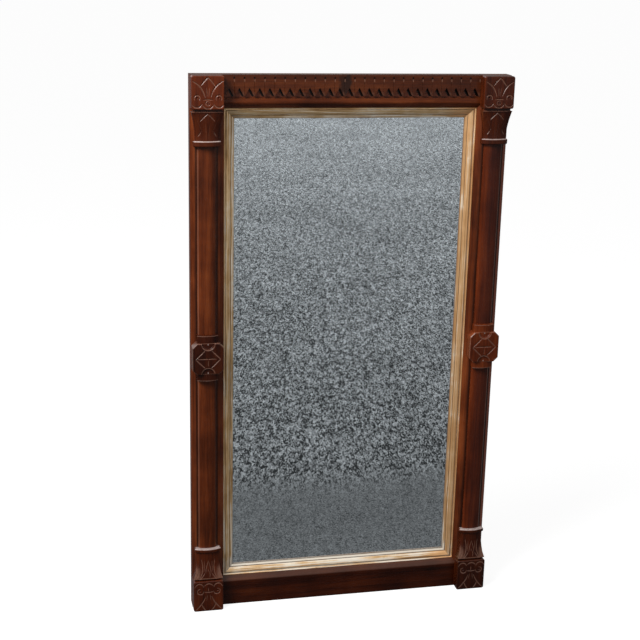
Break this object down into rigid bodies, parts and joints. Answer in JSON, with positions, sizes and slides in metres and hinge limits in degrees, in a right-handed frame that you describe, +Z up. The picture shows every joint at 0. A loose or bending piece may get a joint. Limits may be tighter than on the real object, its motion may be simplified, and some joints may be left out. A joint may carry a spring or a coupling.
{
  "type": "wall mirror",
  "caption": "Tall rectangular mirror in a dark carved walnut frame with half columns, corner blocks, a sawtooth frieze and a gilt liner, hung from rings on its back.",
  "frame": {"origin": "middle of the back, in the plane of the backboards' rear faces, which lie against the wall", "axes": "+Z up along the height, +Y backwards into the wall, +X to the right as the viewer sees the mirror"},
  "size_m": [0.718, 0.068, 1.25],
  "materials": {
    "walnut": "old gloss varnish",
    "gilt": "worn gilding",
    "pine": "bare, darkened by age",
    "steel": "dull",
    "iron": "dark",
    "mirror": "polished"
  },
  "bodies": {
    "frame": {"left_stile": "walnut", "right_stile": "walnut", "top_rail": "walnut", "bottom_rail": "walnut", "top_left_block": "walnut", "top_right_block": "walnut", "bottom_left_block": "walnut", "bottom_right_block": "walnut", "left_capital": "walnut", "right_capital": "walnut", "left_base": "walnut", "right_base": "walnut", "left_middle_block": "walnut", "right_middle_block": "walnut", "left_upper_shaft": "walnut", "left_lower_shaft": "walnut", "right_upper_shaft": "walnut", "right_lower_shaft": "walnut", "frieze_board": "walnut", "liner_left": "gilt", "liner_right": "gilt", "liner_bottom": "gilt", "liner_top": "gilt", "corner_dowels": "pine", "glazing_blocks": "pine", "lower_backboard": "pine", "middle_backboard": "pine", "upper_backboard": "pine", "left_hanger_strap": "steel", "right_hanger_strap": "steel", "hanger_screws": "steel", "backboard_nails": "iron", "mirror_glass": "mirror"},
    "left_ring": {"left_hanger_ring": "steel"},
    "right_ring": {"right_hanger_ring": "steel"}
  },
  "joints": [
    {"name": "left_ring_swing", "type": "hinge", "parent": "frame", "child": "left_ring", "pos_m": [-0.3325, -0.0041, 0.36], "axis": [1, 0, 0], "range_deg": [0, 180]},
    {"name": "right_ring_swing", "type": "hinge", "parent": "frame", "child": "right_ring", "pos_m": [0.3325, -0.0041, 0.36], "axis": [1, 0, 0], "range_deg": [0, 180]}
  ]
}
